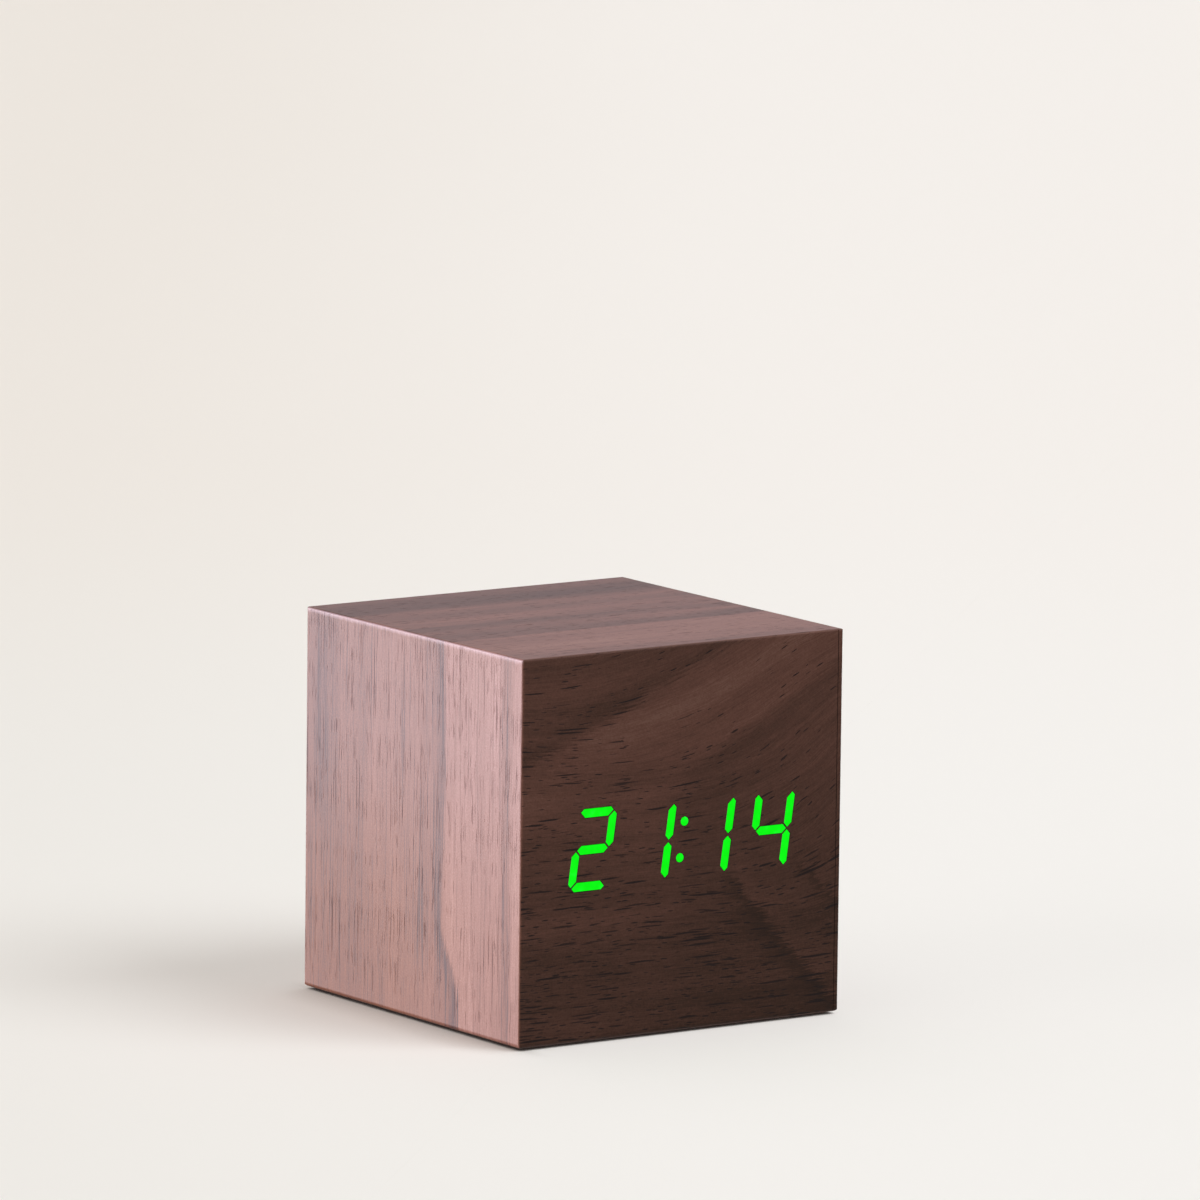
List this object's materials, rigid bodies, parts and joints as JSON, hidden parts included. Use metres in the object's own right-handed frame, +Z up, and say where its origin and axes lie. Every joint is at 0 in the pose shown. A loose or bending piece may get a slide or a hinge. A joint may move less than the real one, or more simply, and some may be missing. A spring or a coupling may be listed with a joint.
{
  "type": "wooden digital clock",
  "caption": "Cube-shaped desk clock with a veneered wooden case, green bar digits that shine through the front, rear push buttons and a battery door under the base.",
  "frame": {"origin": "on the surface that the clock stands on, under the middle of the case", "axes": "+Z up, -Y out of the front with the digits, +X to the right of somebody who faces the front"},
  "size_m": [0.068, 0.0684, 0.0689],
  "materials": {
    "walnut_veneer": "satin varnish over dark open grain",
    "fibreboard": "raw",
    "lit_green": "glowing",
    "diffuser": "frosted",
    "reflector": "moulded",
    "chip_yellow": "clear epoxy",
    "board_green": "solder mask",
    "chip_black": "moulded",
    "can_blue": "shrink sleeve",
    "ivory_plastic": "moulded",
    "ribbon_grey": "flat cable",
    "black_plastic": "fine spark texture",
    "button_grey": "satin",
    "socket_black": "moulded",
    "pin_brass": "plated",
    "red_wire": "sleeved wire",
    "black_wire": "sleeved wire",
    "cell_sleeve": "plain coloured sleeve",
    "steel": "plated",
    "foot_rubber": "matte"
  },
  "bodies": {
    "case": {"front_veneer": "walnut_veneer", "left_veneer": "walnut_veneer", "right_veneer": "walnut_veneer", "top_veneer": "walnut_veneer", "rear_veneer": "walnut_veneer", "base_veneer": "walnut_veneer", "front_panel": "fibreboard", "left_panel": "fibreboard", "right_panel": "fibreboard", "top_panel": "fibreboard", "rear_panel": "fibreboard", "base_panel": "fibreboard", "lit_segments": "lit_green", "segment_diffusers": "diffuser", "reflector_block": "reflector", "led_chips": "chip_yellow", "display_board": "board_green", "display_screws": "steel", "controller_chip": "chip_black", "clock_crystal": "steel", "capacitors": "can_blue", "buzzer": "chip_black", "display_header": "ivory_plastic", "control_header": "ivory_plastic", "ribbon_cable": "ribbon_grey", "control_bezel": "black_plastic", "bezel_screws": "steel", "control_board": "board_green", "control_screws": "steel", "switch_bodies": "chip_black", "power_socket": "socket_black", "socket_pin": "pin_brass", "red_lead": "red_wire", "black_lead": "black_wire", "battery_tray": "black_plastic", "tray_screws": "steel", "battery_cells": "cell_sleeve", "contact_plates": "steel", "contact_springs": "steel", "rubber_feet": "foot_rubber"},
    "set_button": {"set_button": "button_grey", "set_plunger": "chip_black"},
    "up_button": {"up_button": "button_grey", "up_plunger": "chip_black"},
    "down_button": {"down_button": "button_grey", "down_plunger": "chip_black"},
    "battery_door": {"battery_door": "black_plastic"}
  },
  "joints": [
    {"name": "set_press", "type": "slide", "parent": "case", "child": "set_button", "axis": [0, -1, 0], "range_m": [0, 0.0004], "stiffness_N_per_m": 3000},
    {"name": "up_press", "type": "slide", "parent": "case", "child": "up_button", "axis": [0, -1, 0], "range_m": [0, 0.0004], "stiffness_N_per_m": 3000},
    {"name": "down_press", "type": "slide", "parent": "case", "child": "down_button", "axis": [0, -1, 0], "range_m": [0, 0.0004], "stiffness_N_per_m": 3000},
    {"name": "door_hinge", "type": "hinge", "parent": "case", "child": "battery_door", "pos_m": [0, -0.01725, 0.0012], "axis": [-1, 0, 0], "range_deg": [0, 90]}
  ]
}
